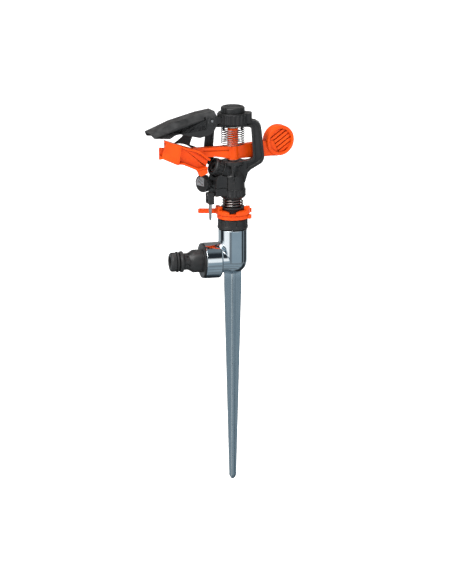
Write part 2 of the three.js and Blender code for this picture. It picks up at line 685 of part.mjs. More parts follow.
function armBeam() {
  const shape = outline([
    [drum.reach, beamBase - drum.sink], [0, beamBase], [-5, beamBase + 0.6], [-16, beamBase + 3.2],
    [-26.5, beamBase + 3.8], [-37, beamBase + 11.4], [-33, beamTop + 1], [-12, beamTop + 0.4],
    [0, beamTop], [12, beamTop + 0.4], [drum.reach - 6, beamTop + 1.2],
  ]);
  const groove = outline([
    [-29.5, beamBase + 9.4], [-4.6, beamBase + 8], [-4.6, beamBase + 7.2], [-27.5, beamBase + 8.4],
  ]);
  const half = beam.halfThickness;
  return cut(
    slab(shape, -half, half),
    slab(groove, -half - 1, -half + beam.groove),
    slab(groove, half - beam.groove, half + 1),
  );
}

// The counterweight: a round drum on the arm's tail, dished on both faces, with slanting ribs in the dish.
function counterweight() {
  const middle = beamBase + drum.radius - drum.sink;
  const place = (made, from) => aimed(made, [drum.reach, from, middle], [0, 1, 0]);
  const { radius, recessRadius, halfDepth, recess, rib, ribs } = drum;
  const disc = turned([
    [0, -halfDepth], [radius - 0.9, -halfDepth], [radius, -halfDepth + 0.9],
    [radius, halfDepth - 0.9], [radius - 0.9, halfDepth], [0, halfDepth],
  ], 40);
  const dish = rod(recessRadius, 0, recess + 1, 32);
  const dished = cut(place(disc, 0), place(dish, -halfDepth - 1), place(dish, halfDepth - recess));
  const slats = Array.from({ length: ribs }, (_, i) => {
    const across = (i - (ribs - 1) / 2) * ((2 * recessRadius) / ribs);
    const low = [-recessRadius, -halfDepth + 2, across - rib / 2];
    return box(low, [recessRadius, halfDepth - 2, across + rib / 2])
      .rotate([0, -32, 0])
      .translate([drum.reach, 0, middle]);
  });
  const inside = place(rod(recessRadius + 0.2, -halfDepth, halfDepth, 32), 0);
  return union(dished, union(...slats).intersect(inside));
}

// The spoon that the jet strikes: a channel along the jet with a bulging far end and a turning vane inside.
function armSpoon() {
  const { wall, near, bulge, flange } = spoon;
  const lift = (pairs) => pairs.map(([x, z]) => [x, beamBase + z]);
  const top = lift([[-25.4, 3.6], [-36, 11.5], [-46.6, 15.2], [-56.6, 19], [-66.4, 22.4]]);
  const bottom = lift([[-71.2, 8.8], [-57.6, 2.3], [-50.5, 1.2], [-37, -5.1], [-28.4, -4.3]]);
  const web = slab(outline([...top, ...bottom]), near, near + wall);
  const lugShape = outline(lift([[-28.4, -3.8], [-37.4, -4.6], [-35.6, -6.4], [-34, -10.4], [-27.6, -8.2]]));
  const lug = slab(lugShape, near - flange + 0.4, near + wall);
  const strip = (line, side) => slab(
    outline([...line, ...[...line].reverse().map(([x, z]) => [x - side * 0.6, z - side * wall])]),
    near - flange, spoonFar,
  );
  const bulgeShape = outline([
    [top[3][0] + 3.6, top[3][1] - 1.4], top[3], top[4],
    bottom[0], bottom[1], [bottom[1][0] + 2.4, bottom[1][1] - 0.5],
  ]);
  const hollow = outline(lift([
    [-55.4, 16.6], [-57.2, 17.3], [-74, 22.8], [-78, 9.8], [-58.2, 4.1], [-57.4, 3.9],
  ]));
  const cheek = cut(
    slab(bulgeShape, near - bulge, near + wall),
    slab(hollow, near - bulge + wall, near + wall + 1),
  );
  const lip = (at, lean) => slab(
    outline([
      [at[0] + 2, at[1]], [at[0] - 1.4, at[1] + lean],
      [at[0] - 1.7, at[1] + lean - 1.3], [at[0] + 2, at[1] - wall],
    ]),
    near - bulge, spoonFar,
  );
  const vane = new THREE.Shape();
  vane.moveTo(-50, near + 0.4);
  vane.quadraticCurveTo(-60, near + 1, -67.6, spoonFar);
  vane.lineTo(-66, spoonFar);
  vane.quadraticCurveTo(-58, near + 2.8, -49, near + 1.4);
  const channel = slab(outline([...top, ...bottom]), near, spoonFar);
  const throughWeb = (shape) => slab(shape, near - 1, near + wall + 1);
  const made = union(
    cut(web, throughWeb(bulgeShape).intersect(throughWeb(hollow))),
    strip(top, 1), strip(bottom, -1), lug, cheek,
    lip(top[4], 0.6), lip([bottom[0][0], bottom[0][1] + 1.4], -1),
    plate(vane, beamBase, beamTop + 16, 6).intersect(channel),
  );
  // the open end is cut off aslant, its lower half standing out further than its upper
  const parting = beamBase + 15;
  const beyond = (reach, from, to) => spun(box([-120, -60, from], [-reach, 60, to]), spoon.endTurn);
  return cut(made, beyond(56.4, parting, parting + 40), beyond(60.6, parting - 60, parting));
}

function impactArm() {
  const post = rod(hub.radius, hubBase, hubTop, 24);
  const boss = turned([
    [0, hubBase], [hub.radius + 1, hubBase], [hub.radius + 0.2, hubBase + 1.6],
    [hub.radius, beamTop - 2], [0, beamTop - 2],
  ], 24);
  return cut(
    union(post, boss, armBeam(), counterweight(), armSpoon()),
    rod(fulcrum.radius + 0.6, hubBase - 1, hubTop + 1, 20),
    rod(bush.radius + 0.1, hubBase - 1, hubBase + bush.length + gap, 24),
    rod(bush.radius + 0.1, hubTop - bush.length - gap, hubTop + 1, 24),
  );
}

const armReturnSpring = () => spun(
  coil({ ...armSpring, from: beamTop + 0.7, to: barBase - 0.5, steps: 11 }),
  150,
);

piece(head, "impact_arm", orangePlastic, impactArm());
piece(head, "arm_bush_lower", palePlastic, hubBush(saddleTop + 0.15, 1));
piece(head, "arm_bush_upper", palePlastic, hubBush(barBase - 0.15, -1));
piece(head, "arm_spring", steel, armReturnSpring());

// ---- the jet deflector hood and its hinge pin ----

function deflectorHood() {
  const { width, wall } = hood;
  const half = width / 2;
  const lift = (pairs) => pairs.map(([x, z]) => [x, hingeZ + z]);
  const ridge = lift([[-18.4, 7.5], [-32, 6], [-55.7, 1.2], [-77.4, -6.1]]);
  const near = lift([
    [-75.8, -9.8], [-61.3, -11.4], [-57.3, -9], [-52.7, -8.2], [-49.2, -9.2],
    [-34.1, -13.2], [-24.6, -11.4], [-21.1, -8.8], [-18.1, -3.5],
  ]);
  const below = hingeZ - 36;
  const outside = slab(outline([...ridge, ...near]), -half, half);
  const under = outline([
    [-10, ridge[0][1] + 1 - wall], ...ridge.map(([x, z]) => [x, z - wall]),
    [-84, ridge[3][1] - 3.4 - wall], [-84, below], [-10, below],
  ]);
  // what lies above the roof's near slope, lowered by a wall for the inside
  const overSlope = (lower) => {
    const level = hood.slopeDrop + lower;
    const along = [[0, ridge[0][1] + 2], ...ridge, [-90, ridge[3][1] - 4.5]].map(([x, z]) => [x, z - level]);
    const steep = hood.slopeDrop / hood.slopeWidth;
    const lean = new THREE.Matrix4().set(1, 0, 0, 0, 0, 1, 0, 0, 0, steep, 1, steep * half, 0, 0, 0, 1);
    return slab(outline([...along, [-90, hingeZ + 40], [0, hingeZ + 40]]), -half - 1, half + 1)
      .transform(lean.elements);
  };
  const inside = cut(slab(under, -half + wall, half - wall), overSlope(wall * 1.3));
  const farCorner = slab(
    outline([
      [hingeX - 4, below], [hingeX - 4, hingeZ - 1], [hingeX, hingeZ],
      [hingeX, hingeZ + 2.4], [hingeX + 13, hingeZ + 2.4], [hingeX + 13, below],
    ]),
    half - wall - 0.1, half + 1,
  );
  const alongHinge = (radius, from, to, segments) =>
    aimed(rod(radius, 0, to - from, segments), [hingeX, from, hingeZ], [0, 1, 0]);
  const tongue = new THREE.Shape();
  tongue.moveTo(-29.6, hingeZ + 3.6);
  tongue.quadraticCurveTo(-31, hingeZ - 1.5, -28.4, hingeZ - 6.4);
  tongue.lineTo(-27.4, hingeZ - 6.4);
  tongue.quadraticCurveTo(-29.6, hingeZ - 1.5, -28.2, hingeZ + 3.6);
  return cut(
    union(
      cut(outside, inside, farCorner, overSlope(0)),
      alongHinge(hood.bossRadius, half - wall, half, 24),
      alongHinge(hood.bossRadius, -half - 0.4, -half + wall, 24),
    ),
    slab(tongue, -half - 1, -half + wall + 1),
    alongHinge(hood.pinRadius + 0.1, -half - 2, half + 2, 16),
  );
}

const hoodPin = () =>
  aimed(rod(hood.pinRadius, 0, hood.width + 0.2, 16), [hingeX, -hood.width / 2 - 0.3, hingeZ], [0, 1, 0]);

piece(head, "deflector_hood", blackPlastic, deflectorHood());
piece(head, "hood_pin", steel, hoodPin());

// ---- the reversing trip: housing, cover, lever, striker wire, pivot, spring and pawl ----

const tripAt = (height) => bodyBase + height;
const pivotZ = tripAt(lever.pivot);
const onPivot = (made, x) => aimed(made, [x, striker.side, pivotZ], [1, 0, 0]);
const barrelClear = body.collarRadius + gap;

// The box's side outline with its rounded front top corner, shrunk by an inset.
function tripOutline(inset, from, to) {
  const shape = new THREE.Shape();
  const front = -trip.front + inset;
  const top = tripAt(to) - inset;
  shape.moveTo(-2, tripAt(from));
  shape.lineTo(front, tripAt(from));
  shape.lineTo(front, top - 6.5);
  shape.quadraticCurveTo(front, top, front + 6.5, top);
  shape.lineTo(-2, top);
  return shape;
}

function tripShell(from, to, openBelow) {
  const roomOutline = tripOutline(trip.wall, from - openBelow, trip.top);
  const inside = slab(roomOutline, trip.near + trip.wall, trip.far - trip.wall, 5);
  const room = inside.intersect(box([-40, -40, tripAt(from) - 1], [40, 40, tripAt(trip.top)]));
  const level = box([-40, -40, tripAt(from)], [40, 40, tripAt(to)]);
  const shell = slab(tripOutline(0, from, trip.top), trip.near, trip.far, 5).intersect(level);
  return cut(shell, room, rod(barrelClear, bodyBase - 1, jetBase + 8, 40));
}

const tripHousing = () => cut(
  tripShell(trip.bottom, trip.seam - 0.15, 2),
  onPivot(rod(1.3, 0, 6, 16), -trip.front - 1),
);

function tripCover() {
  const spindle = aimed(rod(dial.spindle, 0, 8, 20), dialBack(0.4), dialWay(-1));
  const jetRoom = onJet(rod(nozzle.capRadius + 1, 1, jet.barrel + nozzle.cap + 4, 28));
  const innerOutline = tripOutline(trip.wall, trip.seam - 4, trip.top);
  const inner = slab(innerOutline, trip.near + trip.wall, trip.far - trip.wall, 5);
  const beyond = rod(barrelClear, bodyBase - 1, jetBase + 10, 40);
  const bridgeHalf = bridge.thickness / 2 + gap;
  const bridgeRoom = spun(slab(bridgeOutside(-gap), -bridgeHalf, bridgeHalf, 4), bridgeTurn);
  const shell = tripShell(trip.seam + 0.15, trip.top, 2);
  return cut(union(shell, cut(spindle, inner, beyond)), jetRoom, bridgeRoom);
}

const dialTurn = radians(dial.facing);
const dialWay = (sign) => [sign * Math.cos(dialTurn), sign * Math.sin(dialTurn), 0];
const dialZ = tripAt(dial.height);
const dialBack = (extra) => [
  dial.x - (dial.thickness / 2 + extra) * Math.cos(dialTurn),
  dial.y - (dial.thickness / 2 + extra) * Math.sin(dialTurn),
  dialZ,
];

function tripLever() {
  const { front, back, near, far, top, bottom } = lever;
  const shape = new THREE.Shape();
  const [low, high] = [tripAt(bottom), tripAt(top)];
  shape.moveTo(-front, low + 1);
  shape.lineTo(-front + 1, low);
  shape.lineTo(-back, low);
  shape.lineTo(-back, high);
  shape.lineTo(-front + 1.6, high);
  shape.quadraticCurveTo(-front, high, -front, high - 1.6);
  const clip = slab(shape, near, far, 4);
  const side = striker.side;
  const half = striker.width / 2 + 0.1;
  const depth = striker.thickness / 2 + 0.1;
  const slotLow = [-striker.radius - depth, side - half, low - 1];
  const slot = box(slotLow, [-striker.radius + depth, side + half, low + 6.4]);
  const window = box([-front - 1, side - 0.9, low + 2], [-striker.radius, side + 0.9, low + 4.4]);
  return cut(clip, slot, window, onPivot(rod(1.1, 0, 6, 16), -front - 1));
}

// The striker wire that meets the stop fingers: flat, necked in, with a pointed end.
function strikerWire() {
  const { width, thickness, radius, reach, side } = striker;
  const high = tripAt(lever.bottom) + 6;
  const low = tripAt(lever.bottom) - reach + 3;
  const half = width / 2;
  const blade = outline([
    [-half, high], [-half, low + 9], [-half * 0.62, low + 5], [-half * 0.62, low + 2.6], [0, low],
    [half * 0.62, low + 2.6], [half * 0.62, low + 5], [half, low + 9], [half, high],
  ]);
  return slab(blade, -thickness / 2, thickness / 2).rotate([0, 0, 90]).translate([-radius, side, 0]);
}

const tripPivot = () => onPivot(rod(1, 0, lever.front - 12.6, 16), -lever.front + 0.4);

function reversingPawl() {
  const shape = outline([[-2.4, -2.4], [2.4, -2.4], [2.4, 2], [1.2, 8.6], [-1.2, 8.6], [-2.4, 2]]);
  const blade = slab(shape, -0.9, 0.9).rotate([0, 0, 90]).translate([-15.6, striker.side, pivotZ]);
  return cut(blade, onPivot(rod(1.1, 0, 6, 16), -18));
}

const tripSpring = () => onPivot(
  coil({ radius: 2, wire: 0.3, from: 0, to: 2.4, turns: 2, steps: 10, sides: 5 }), -14.4,
);

piece(head, "trip_housing", blackPlastic, tripHousing());
piece(head, "trip_cover", blackPlastic, tripCover());
piece(head, "trip_lever", blackPlastic, tripLever());
piece(head, "striker_wire", steel, strikerWire());
piece(head, "trip_pivot", steel, tripPivot());
piece(head, "reversing_pawl", palePlastic, reversingPawl());
piece(head, "trip_spring", steel, tripSpring());

// ---- the range dial on its spindle, with a grey face panel ----

const onDial = (made) => aimed(made, [dial.x, dial.y, dialZ], dialWay(1));
const dialFront = dial.thickness / 2;

function panelShape(inset) {
  const whole = dial.radius - 1.3;
  const reach = whole - inset;
  const right = 0.58 * whole - inset;
  const low = 0.34 * whole - inset;
  const corner = Math.sqrt(reach ** 2 - right ** 2);
  const shape = new THREE.Shape();
  shape.moveTo(right, -low);
  shape.lineTo(right, corner);
  shape.absarc(0, 0, reach, Math.atan2(corner, right), Math.PI + Math.asin(low / reach), false);
  return shape;
}

// Turns an outline in XY so that its Y points up once the dial is in place.
const panelUp = (made) => spun(made, dial.facing - 270);

function rangeDial() {
  const grip = plate(fluted(dial.radius, 16, 0.35), -dialFront, dialFront - 1.8);
  const faceRing = turned([
    [0, dialFront - 2], [dial.radius, dialFront - 2], [dial.radius, dialFront - 0.7],
    [dial.radius - 0.7, dialFront], [0, dialFront],
  ], 32);
  return cut(
    union(grip, faceRing),
    panelUp(plate(panelShape(0), dialFront - 1, dialFront + 1, 14)),
    rod(dial.spindle + runGap, -dialFront - 1, -dialFront + 3.4, 24),
  );
}

function dialPanel() {
  const slot = (x, y, length) => box([-length / 2, -0.5, dialFront - 0.4], [length / 2, 0.5, dialFront + 1])
    .rotate([0, 0, -28])
    .translate([x, y, 0]);
  const dot = rod(0.55, dialFront - 0.4, dialFront + 1, 12).translate([1.8, -0.5, 0]);
  return panelUp(cut(
    plate(panelShape(0.15), dialFront - 0.9, dialFront - 0.05, 14),
    slot(-0.5, 3.2, 4.8), slot(-1.2, 0.9, 5.2), dot,
  ));
}

piece(head, "range_dial", blackPlastic, onDial(rangeDial()));
piece(head, "dial_panel", greyPlastic, onDial(dialPanel()));

export default part;
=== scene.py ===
import bmesh
import bpy
import json
import math
from mathutils import Matrix, Vector


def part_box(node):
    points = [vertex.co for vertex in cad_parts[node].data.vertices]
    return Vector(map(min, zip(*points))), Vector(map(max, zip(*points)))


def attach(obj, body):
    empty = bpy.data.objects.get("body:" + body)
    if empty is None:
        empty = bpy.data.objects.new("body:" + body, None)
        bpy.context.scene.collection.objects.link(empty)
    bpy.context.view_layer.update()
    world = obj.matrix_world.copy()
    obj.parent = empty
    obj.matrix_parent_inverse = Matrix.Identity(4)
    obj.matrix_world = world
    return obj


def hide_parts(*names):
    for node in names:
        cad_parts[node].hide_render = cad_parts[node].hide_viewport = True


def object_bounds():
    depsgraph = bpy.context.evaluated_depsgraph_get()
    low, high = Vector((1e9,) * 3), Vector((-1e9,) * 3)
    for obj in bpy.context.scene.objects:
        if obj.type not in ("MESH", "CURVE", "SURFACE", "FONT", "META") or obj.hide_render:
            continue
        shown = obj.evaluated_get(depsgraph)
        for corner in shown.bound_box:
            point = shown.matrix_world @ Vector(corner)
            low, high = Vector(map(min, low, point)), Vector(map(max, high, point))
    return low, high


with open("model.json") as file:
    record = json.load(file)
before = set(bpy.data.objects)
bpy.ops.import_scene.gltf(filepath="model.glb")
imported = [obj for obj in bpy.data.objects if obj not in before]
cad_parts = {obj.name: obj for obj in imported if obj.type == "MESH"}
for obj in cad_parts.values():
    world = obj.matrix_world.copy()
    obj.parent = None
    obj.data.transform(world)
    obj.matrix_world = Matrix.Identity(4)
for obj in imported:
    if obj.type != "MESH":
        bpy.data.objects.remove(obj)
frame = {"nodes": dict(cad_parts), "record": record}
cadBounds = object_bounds()
scene = bpy.context.scene
cadNodes = frame["nodes"]
mm = 0.001
up = Vector((0, 0, 1))

# the record's slot for every node
slotOf = {part["node"]: part["material_slot"] for part in frame["record"]["subparts"]}


def polar(azimuth, elevation):
    a, e = math.radians(azimuth), math.radians(elevation)
    return Vector((math.sin(a) * math.cos(e), -math.cos(a) * math.cos(e), math.sin(e)))


print("camera")
viewFrom = {
    "azimuth": -14,  # degrees, 0 square to the nipple's line
    "elevation": 13,
    "distance": 11,
    "lens": 1062,
    "aside": -5.53 * mm,  # the picture's centre from the spike's axis
    "height": -8.47 * mm,
}


def buildCamera(v):
    toCamera = polar(v["azimuth"], v["elevation"])
    right = Vector((-toCamera.y, toCamera.x, 0)).normalized()
    target = right * v["aside"] + up * v["height"]
    data = bpy.data.cameras.new("camera")
    data.lens = v["lens"]
    data.sensor_fit = "HORIZONTAL"
    data.clip_end = 50
    camera = bpy.data.objects.new("camera", data)
    scene.collection.objects.link(camera)
    camera.location = target + toCamera * v["distance"]
    camera.rotation_euler = (-toCamera).to_track_quat("-Z", "Y").to_euler()
    scene.camera = camera


buildCamera(viewFrom)
scene.view_settings.view_transform = "Standard"


def addNode(tree, kind, inputs=None, **settings):
    node = tree.nodes.new(kind)
    for key, value in settings.items():
        setattr(node, key, value)
    for key, value in (inputs or {}).items():
        if isinstance(value, bpy.types.NodeSocket):
            tree.links.new(value, node.inputs[key])
        else:
            node.inputs[key].default_value = value
    return node


def maths(tree, operation, *values, clamp=False):
    node = addNode(tree, "ShaderNodeMath", dict(enumerate(values)), operation=operation, use_clamp=clamp)
    return node.outputs[0]


def ramp(tree, value, low, high, fromLow=0.0, fromHigh=1.0):
    inputs = {"Value": value, "From Min": low, "From Max": high, "To Min": fromLow, "To Max": fromHigh}
    return addNode(tree, "ShaderNodeMapRange", inputs, interpolation_type="SMOOTHSTEP").outputs[0]


def tint(tree, amount, first, second):
    node = addNode(tree, "ShaderNodeMix", data_type="RGBA")
    for socket, value in ((0, amount), (6, first), (7, second)):
        if isinstance(value, bpy.types.NodeSocket):
            tree.links.new(value, node.inputs[socket])
        else:
            node.inputs[socket].default_value = value
    return node.outputs[2]


def newGroup(name, inputs, outputs):
    tree = bpy.data.node_groups.new(name, "ShaderNodeTree")
    for label, value in inputs.items():
        socket = tree.interface.new_socket(name=label, in_out="INPUT", socket_type="NodeSocketFloat")
        socket.default_value = value
    for label in outputs:
        tree.interface.new_socket(name=label, in_out="OUTPUT", socket_type="NodeSocketFloat")
    entry = tree.nodes.new("NodeGroupInput")
    leave = tree.nodes.new("NodeGroupOutput")
    return tree, entry.outputs, leave.inputs


def place(tree, group, inputs):
    node = addNode(tree, "ShaderNodeGroup", node_tree=group)
    for key, value in inputs.items():
        node.inputs[key].default_value = value
    return node.outputs


print("surface effects")


def grainGroup():
    # moulded grain: a fine texture for the bump and slow blotches for tone and gloss
    tree, given, out = newGroup("mouldedGrain", {"Grain": 2200.0, "Blotch": 45.0}, ("Height", "Tone"))
    where = addNode(tree, "ShaderNodeTexCoord").outputs["Object"]
    fine = addNode(tree, "ShaderNodeTexNoise", {"Vector": where, "Scale": given["Grain"], "Detail": 3.0})
    slow = addNode(tree, "ShaderNodeTexNoise", {"Vector": where, "Scale": given["Blotch"], "Detail": 4.0})
    tree.links.new(fine.outputs["Fac"], out["Height"])
    tree.links.new(slow.outputs["Fac"], out["Tone"])
    return tree


def wearAndHighlightGroup():
    # corners that catch knocks, lighter partly from wear and partly as painted highlight along edges: where
    # the rounded normal leaves the true one
    tree, given, out = newGroup("edgeWearAndHighlight", {"Reach": 0.0006, "Break": 700.0}, ("Mask",))
    soft = addNode(tree, "ShaderNodeBevel", {"Radius": given["Reach"]}, samples=6).outputs[0]
    true = addNode(tree, "ShaderNodeNewGeometry").outputs["Normal"]
    dot = addNode(tree, "ShaderNodeVectorMath", {0: soft, 1: true}, operation="DOT_PRODUCT").outputs["Value"]
    edge = ramp(tree, dot, 0.985, 0.80)
    where = addNode(tree, "ShaderNodeTexCoord").outputs["Object"]
    broken = addNode(tree, "ShaderNodeTexNoise", {"Vector": where, "Scale": given["Break"], "Detail": 4.0})
    patchy = ramp(tree, broken.outputs["Fac"], 0.34, 0.62)
    tree.links.new(maths(tree, "MULTIPLY", edge, patchy), out["Mask"])
    return tree


def dustAndSheenGroup():
    # a thin settled film of dust on what faces up, partly painted sheen that lightens the tops
    tree, given, out = newGroup("settledDustAndSheen", {"Scale": 160.0}, ("Mask",))
    normal = addNode(tree, "ShaderNodeNewGeometry").outputs["Normal"]
    height = addNode(tree, "ShaderNodeSeparateXYZ", {0: normal}).outputs["Z"]
    facing = ramp(tree, height, 0.25, 1.0)
    where = addNode(tree, "ShaderNodeTexCoord").outputs["Object"]
    cloud = addNode(tree, "ShaderNodeTexNoise", {"Vector": where, "Scale": given["Scale"], "Detail": 6.0})
    tree.links.new(maths(tree, "MULTIPLY", facing, ramp(tree, cloud.outputs["Fac"], 0.3, 0.75)), out["Mask"])
    return tree


def paintedShadeGroup():
    # painted shade: soft dark in slots and inner corners, where light doesn't reach
    tree, given, out = newGroup("paintedCornerShade", {"Reach": 0.0015}, ("Mask",))
    clear = addNode(tree, "ShaderNodeAmbientOcclusion", {"Distance": given["Reach"]}, samples=8)
    tree.links.new(ramp(tree, clear.outputs["AO"], 0.92, 0.42), out["Mask"])
    return tree


def scratchGroup():
    # long fine scratches along the spike and the wire
    tree, given, out = newGroup("fineScratches", {"Scale": 900.0, "Stretch": 0.04}, ("Mask",))
    where = addNode(tree, "ShaderNodeTexCoord").outputs["Object"]
    squeeze = addNode(tree, "ShaderNodeCombineXYZ", {0: 1.0, 1: 1.0, 2: given["Stretch"]}).outputs[0]
    drawn = addNode(tree, "ShaderNodeVectorMath", {0: where, 1: squeeze}, operation="MULTIPLY").outputs[0]
    lines = addNode(tree, "ShaderNodeTexNoise", {"Vector": drawn, "Scale": given["Scale"], "Detail": 5.0})
    tree.links.new(ramp(tree, lines.outputs["Fac"], 0.5, 0.68), out["Mask"])
    return tree


grain, wearAndHighlight, dustAndSheen = grainGroup(), wearAndHighlightGroup(), dustAndSheenGroup()
paintedShade, scratches = paintedShadeGroup(), scratchGroup()


def shader(name):
    material = bpy.data.materials.new(name)
    material.use_nodes = True
    tree = material.node_tree
    return material, tree, tree.nodes["Principled BSDF"]


def bumped(tree, bsdf, height, distance, strength=1.0):
    bump = addNode(tree, "ShaderNodeBump", {"Height": height, "Distance": distance, "Strength": strength})
    tree.links.new(bump.outputs[0], bsdf.inputs["Normal"])


def plastic(name, p):
    material, tree, bsdf = shader(name)
    surface = place(tree, grain, {"Grain": p["grain"], "Blotch": 45.0})
    # edge colour: wear and painted highlight along edges
    rubbedAndHighlit = place(tree, wearAndHighlight, {"Reach": p["wearAndHighlightReach"], "Break": 700.0})["Mask"]
    # up-facing film: dust and painted sheen on the tops
    dustAndSheenFilm = place(tree, dustAndSheen, {"Scale": 160.0})["Mask"]
    base = tint(tree, ramp(tree, surface["Tone"], 0.3, 0.7), p["deep"], p["light"])
    wornAndHighlit = tint(tree, maths(tree, "MULTIPLY", rubbedAndHighlit, p["wearAndHighlight"]), base, p["wornAndHighlit"])
    withDustAndSheen = tint(tree, maths(tree, "MULTIPLY", dustAndSheenFilm, p["dustAndSheen"]), wornAndHighlit, p["dustAndSheenColor"])
    # painted shade in slots and inner corners
    hollow = place(tree, paintedShade, {"Reach": p["shadeReach"]})["Mask"]
    shaded = tint(tree, maths(tree, "MULTIPLY", hollow, p["shade"]), withDustAndSheen, p["shadeColor"])
    tree.links.new(shaded, bsdf.inputs["Base Color"])
    gloss = ramp(tree, surface["Tone"], 0.3, 0.7, p["roughness"] - 0.05, p["roughness"] + 0.06)
    rubbedGloss = maths(tree, "MULTIPLY_ADD", rubbedAndHighlit, -0.08, gloss)
    dusty = maths(tree, "MULTIPLY_ADD", dustAndSheenFilm, 0.12 * p["dustAndSheen"], rubbedGloss)
    tree.links.new(dusty, bsdf.inputs["Roughness"])
    bsdf.inputs["IOR"].default_value = p["ior"]
    bumped(tree, bsdf, surface["Height"], p["bump"])
    return material


charcoal = {
    "deep": (0.0120, 0.0120, 0.0122, 1),
    "light": (0.0185, 0.0186, 0.0190, 1),
    # worn: edge colour for wear and painted highlight along edges
    "wornAndHighlit": (0.16, 0.16, 0.165, 1),
    "wearAndHighlight": 0.8,
    "wearAndHighlightReach": 0.0005,
    # dust: dust and painted sheen on faces that look up
    "dustAndSheen": 0.18,
    "dustAndSheenColor": (0.20, 0.20, 0.20, 1),
    # shade: painted shade in slots and inner corners
    "shade": 0.85,
    "shadeReach": 0.0016,
    "shadeColor": (0.004, 0.004, 0.0042, 1),
    "roughness": 0.37,
    "ior": 1.43,
    "grain": 2400.0,
    "bump": 0.00003,
}
signalOrange = {
    "deep": (0.66, 0.054, 0.001, 1),
    "light": (0.78, 0.074, 0.001, 1),
    # worn: edge colour for wear and painted highlight along edges
    "wornAndHighlit": (1.0, 0.20, 0.03, 1),
    "wearAndHighlight": 0.5,
    "wearAndHighlightReach": 0.0005,
    # dust: dust and painted sheen on faces that look up
    "dustAndSheen": 0.04,
    "dustAndSheenColor": (0.9, 0.30, 0.12, 1),
    # shade: painted shade in slots and inner corners
    "shade": 0.8,
    "shadeReach": 0.002,
    "shadeColor": (0.26, 0.016, 0.0005, 1),
    "roughness": 0.40,
    "ior": 1.27,
    "grain": 1800.0,
    "bump": 0.00002,
}
panelGrey = {
    **charcoal,
    "deep": (0.15, 0.16, 0.17, 1),
    "light": (0.20, 0.215, 0.225, 1),
    # worn: edge colour for wear and painted highlight along edges
    "wornAndHighlit": (0.3, 0.3, 0.3, 1),
    # dust: dust and painted sheen on faces that look up
    "dustAndSheen": 0.05,
    # shade: painted shade in slots and inner corners
    "shade": 1.0,
    "shadeReach": 0.0012,
    "roughness": 0.4,
}
bearingWhite = {
    **signalOrange,
    "deep": (0.62, 0.59, 0.52, 1),
    "light": (0.70, 0.68, 0.61, 1),
    # worn: edge colour for wear and painted highlight along edges
    "wornAndHighlit": (0.8, 0.78, 0.72, 1),
    # dustAndSheenColor: colour of dust and painted sheen on faces that look up
    "dustAndSheenColor": (0.5, 0.48, 0.42, 1),
    # shadeColor: colour of the painted shade in slots and corners
    "shadeColor": (0.2, 0.19, 0.16, 1),
}
sealRubber = {
    **charcoal,
    "deep": (0.010, 0.010, 0.010, 1),
    "light": (0.016, 0.016, 0.016, 1),
    # worn: edge colour for wear and painted highlight along edges
    "wornAndHighlit": (0.05, 0.05, 0.05, 1),
    "wearAndHighlight": 0.2,
    "roughness": 0.62,
    "grain": 3200.0,
}


def metal(name, p):
    material, tree, bsdf = shader(name)
    where = addNode(tree, "ShaderNodeTexCoord").outputs["Object"]
    height = addNode(tree, "ShaderNodeSeparateXYZ", {0: where}).outputs["Z"]
    # 1 on the duller part below
    ground = ramp(tree, height, p["brightFrom"] + 0.008, p["brightFrom"] - 0.002)
    surface = place(tree, grain, {"Grain": p["grain"], "Blotch": p["blotch"]})
    lines = place(tree, scratches, {"Scale": p["scratchScale"], "Stretch": 0.04})["Mask"]
    # edge colour: wear and painted highlight along edges
    rubbedAndHighlit = place(tree, wearAndHighlight, {"Reach": 0.0006, "Break": 500.0})["Mask"]
    cast = tint(tree, ramp(tree, surface["Tone"], 0.3, 0.7), p["deep"], p["light"])
    dull = tint(tree, ground, cast, p["ground"])
    wornAndHighlit = tint(tree, maths(tree, "MULTIPLY", rubbedAndHighlit, 0.6), dull, p["wornAndHighlit"])
    tree.links.new(wornAndHighlit, bsdf.inputs["Base Color"])
    bsdf.inputs["Metallic"].default_value = 1.0
    smooth = ramp(tree, surface["Tone"], 0.3, 0.7, p["roughness"] * 0.8, p["roughness"] * 1.25)
    marked = maths(tree, "MULTIPLY_ADD", lines, p["scratch"], smooth)
    rough = maths(tree, "MULTIPLY_ADD", ground, p["groundRough"], marked)
    tree.links.new(rough, bsdf.inputs["Roughness"])
    bumped(tree, bsdf, maths(tree, "ADD", surface["Height"], lines), p["bump"])
    return material


chrome = {
    "deep": (0.66, 0.72, 0.76, 1),
    "light": (0.76, 0.81, 0.84, 1),
    "ground": (0.42, 0.49, 0.53, 1),  # the spike, satin
    # worn: edge colour for wear and painted highlight along edges
    "wornAndHighlit": (0.86, 0.89, 0.91, 1),
    "brightFrom": 0.003,
    "grain": 900.0,
    "blotch": 60.0,
    "scratchScale": 900.0,
    "roughness": 0.07,
    "scratch": 0.05,
    "groundRough": 0.13,
    "bump": 0.000005,
}
drawnWire = {
    **chrome,
    "deep": (0.52, 0.48, 0.47, 1),
    "light": (0.66, 0.62, 0.60, 1),
    "ground": (0.5, 0.5, 0.5, 1),
    # worn: edge colour for wear and painted highlight along edges
    "wornAndHighlit": (0.8, 0.78, 0.76, 1),
    "brightFrom": -1.0,  # bright all the way down
    "roughness": 0.26,
    "scratch": 0.15,
    "groundRough": 0.0,
}
darkWire = {
    **drawnWire,
    "deep": (0.24, 0.215, 0.205, 1),
    "light": (0.36, 0.33, 0.315, 1),
    # worn: edge colour for wear and painted highlight along edges
    "wornAndHighlit": (0.6, 0.57, 0.55, 1),
    "roughness": 0.2,
}

